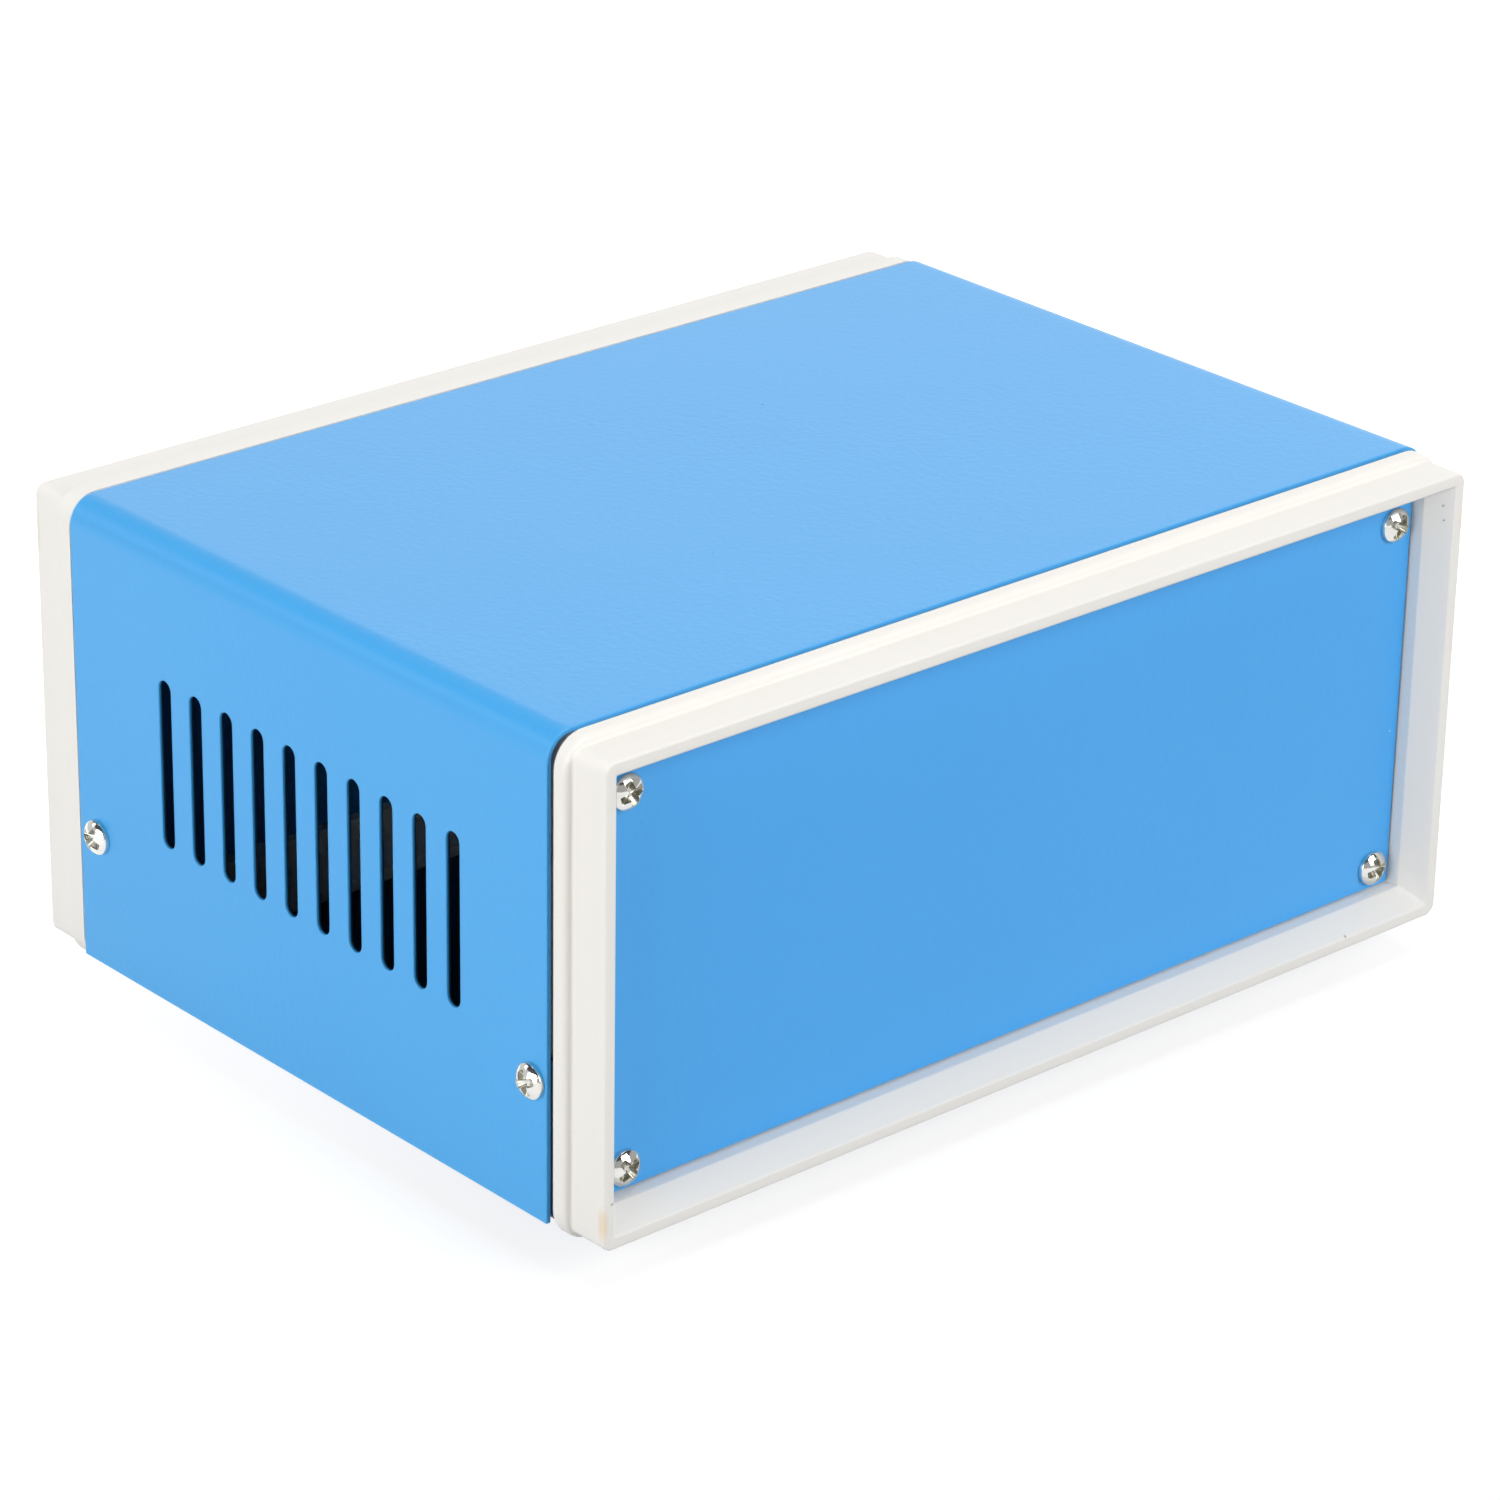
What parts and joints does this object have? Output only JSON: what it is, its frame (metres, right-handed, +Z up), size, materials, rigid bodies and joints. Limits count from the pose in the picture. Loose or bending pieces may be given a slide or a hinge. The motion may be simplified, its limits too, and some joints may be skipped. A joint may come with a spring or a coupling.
{
  "type": "metal project box",
  "caption": "Table-top electronics enclosure: folded steel cover with side vents over a steel tray, moulded end frames with stepped lips, recessed front and rear panels, rubber feet.",
  "frame": {"origin": "on the table, under the middle of the case", "axes": "+Z up, the front panel faces -Y, +X to the right seen from the front"},
  "size_m": [0.1738, 0.1296, 0.08],
  "materials": {
    "blue_paint": "light sky-blue powder coat with a fine orange-peel texture, on steel sheet",
    "white_plastic": "satin moulded white ABS, slightly warm",
    "plated_steel": "bright nickel plating on steel",
    "black_rubber": "matt moulded black rubber"
  },
  "bodies": {
    "root": {"top_cover": "blue_paint", "base_tray": "blue_paint", "front_frame": "white_plastic", "rear_frame": "white_plastic", "front_panel": "blue_paint", "rear_panel": "blue_paint", "front_panel_screws": "plated_steel", "rear_panel_screws": "plated_steel", "left_cover_screws": "plated_steel", "right_cover_screws": "plated_steel", "front_tray_screws": "plated_steel", "rear_tray_screws": "plated_steel", "foot_front_left": "black_rubber", "foot_front_right": "black_rubber", "foot_rear_left": "black_rubber", "foot_rear_right": "black_rubber", "foot_screws": "plated_steel", "foot_nuts": "plated_steel"}
  },
  "joints": []
}
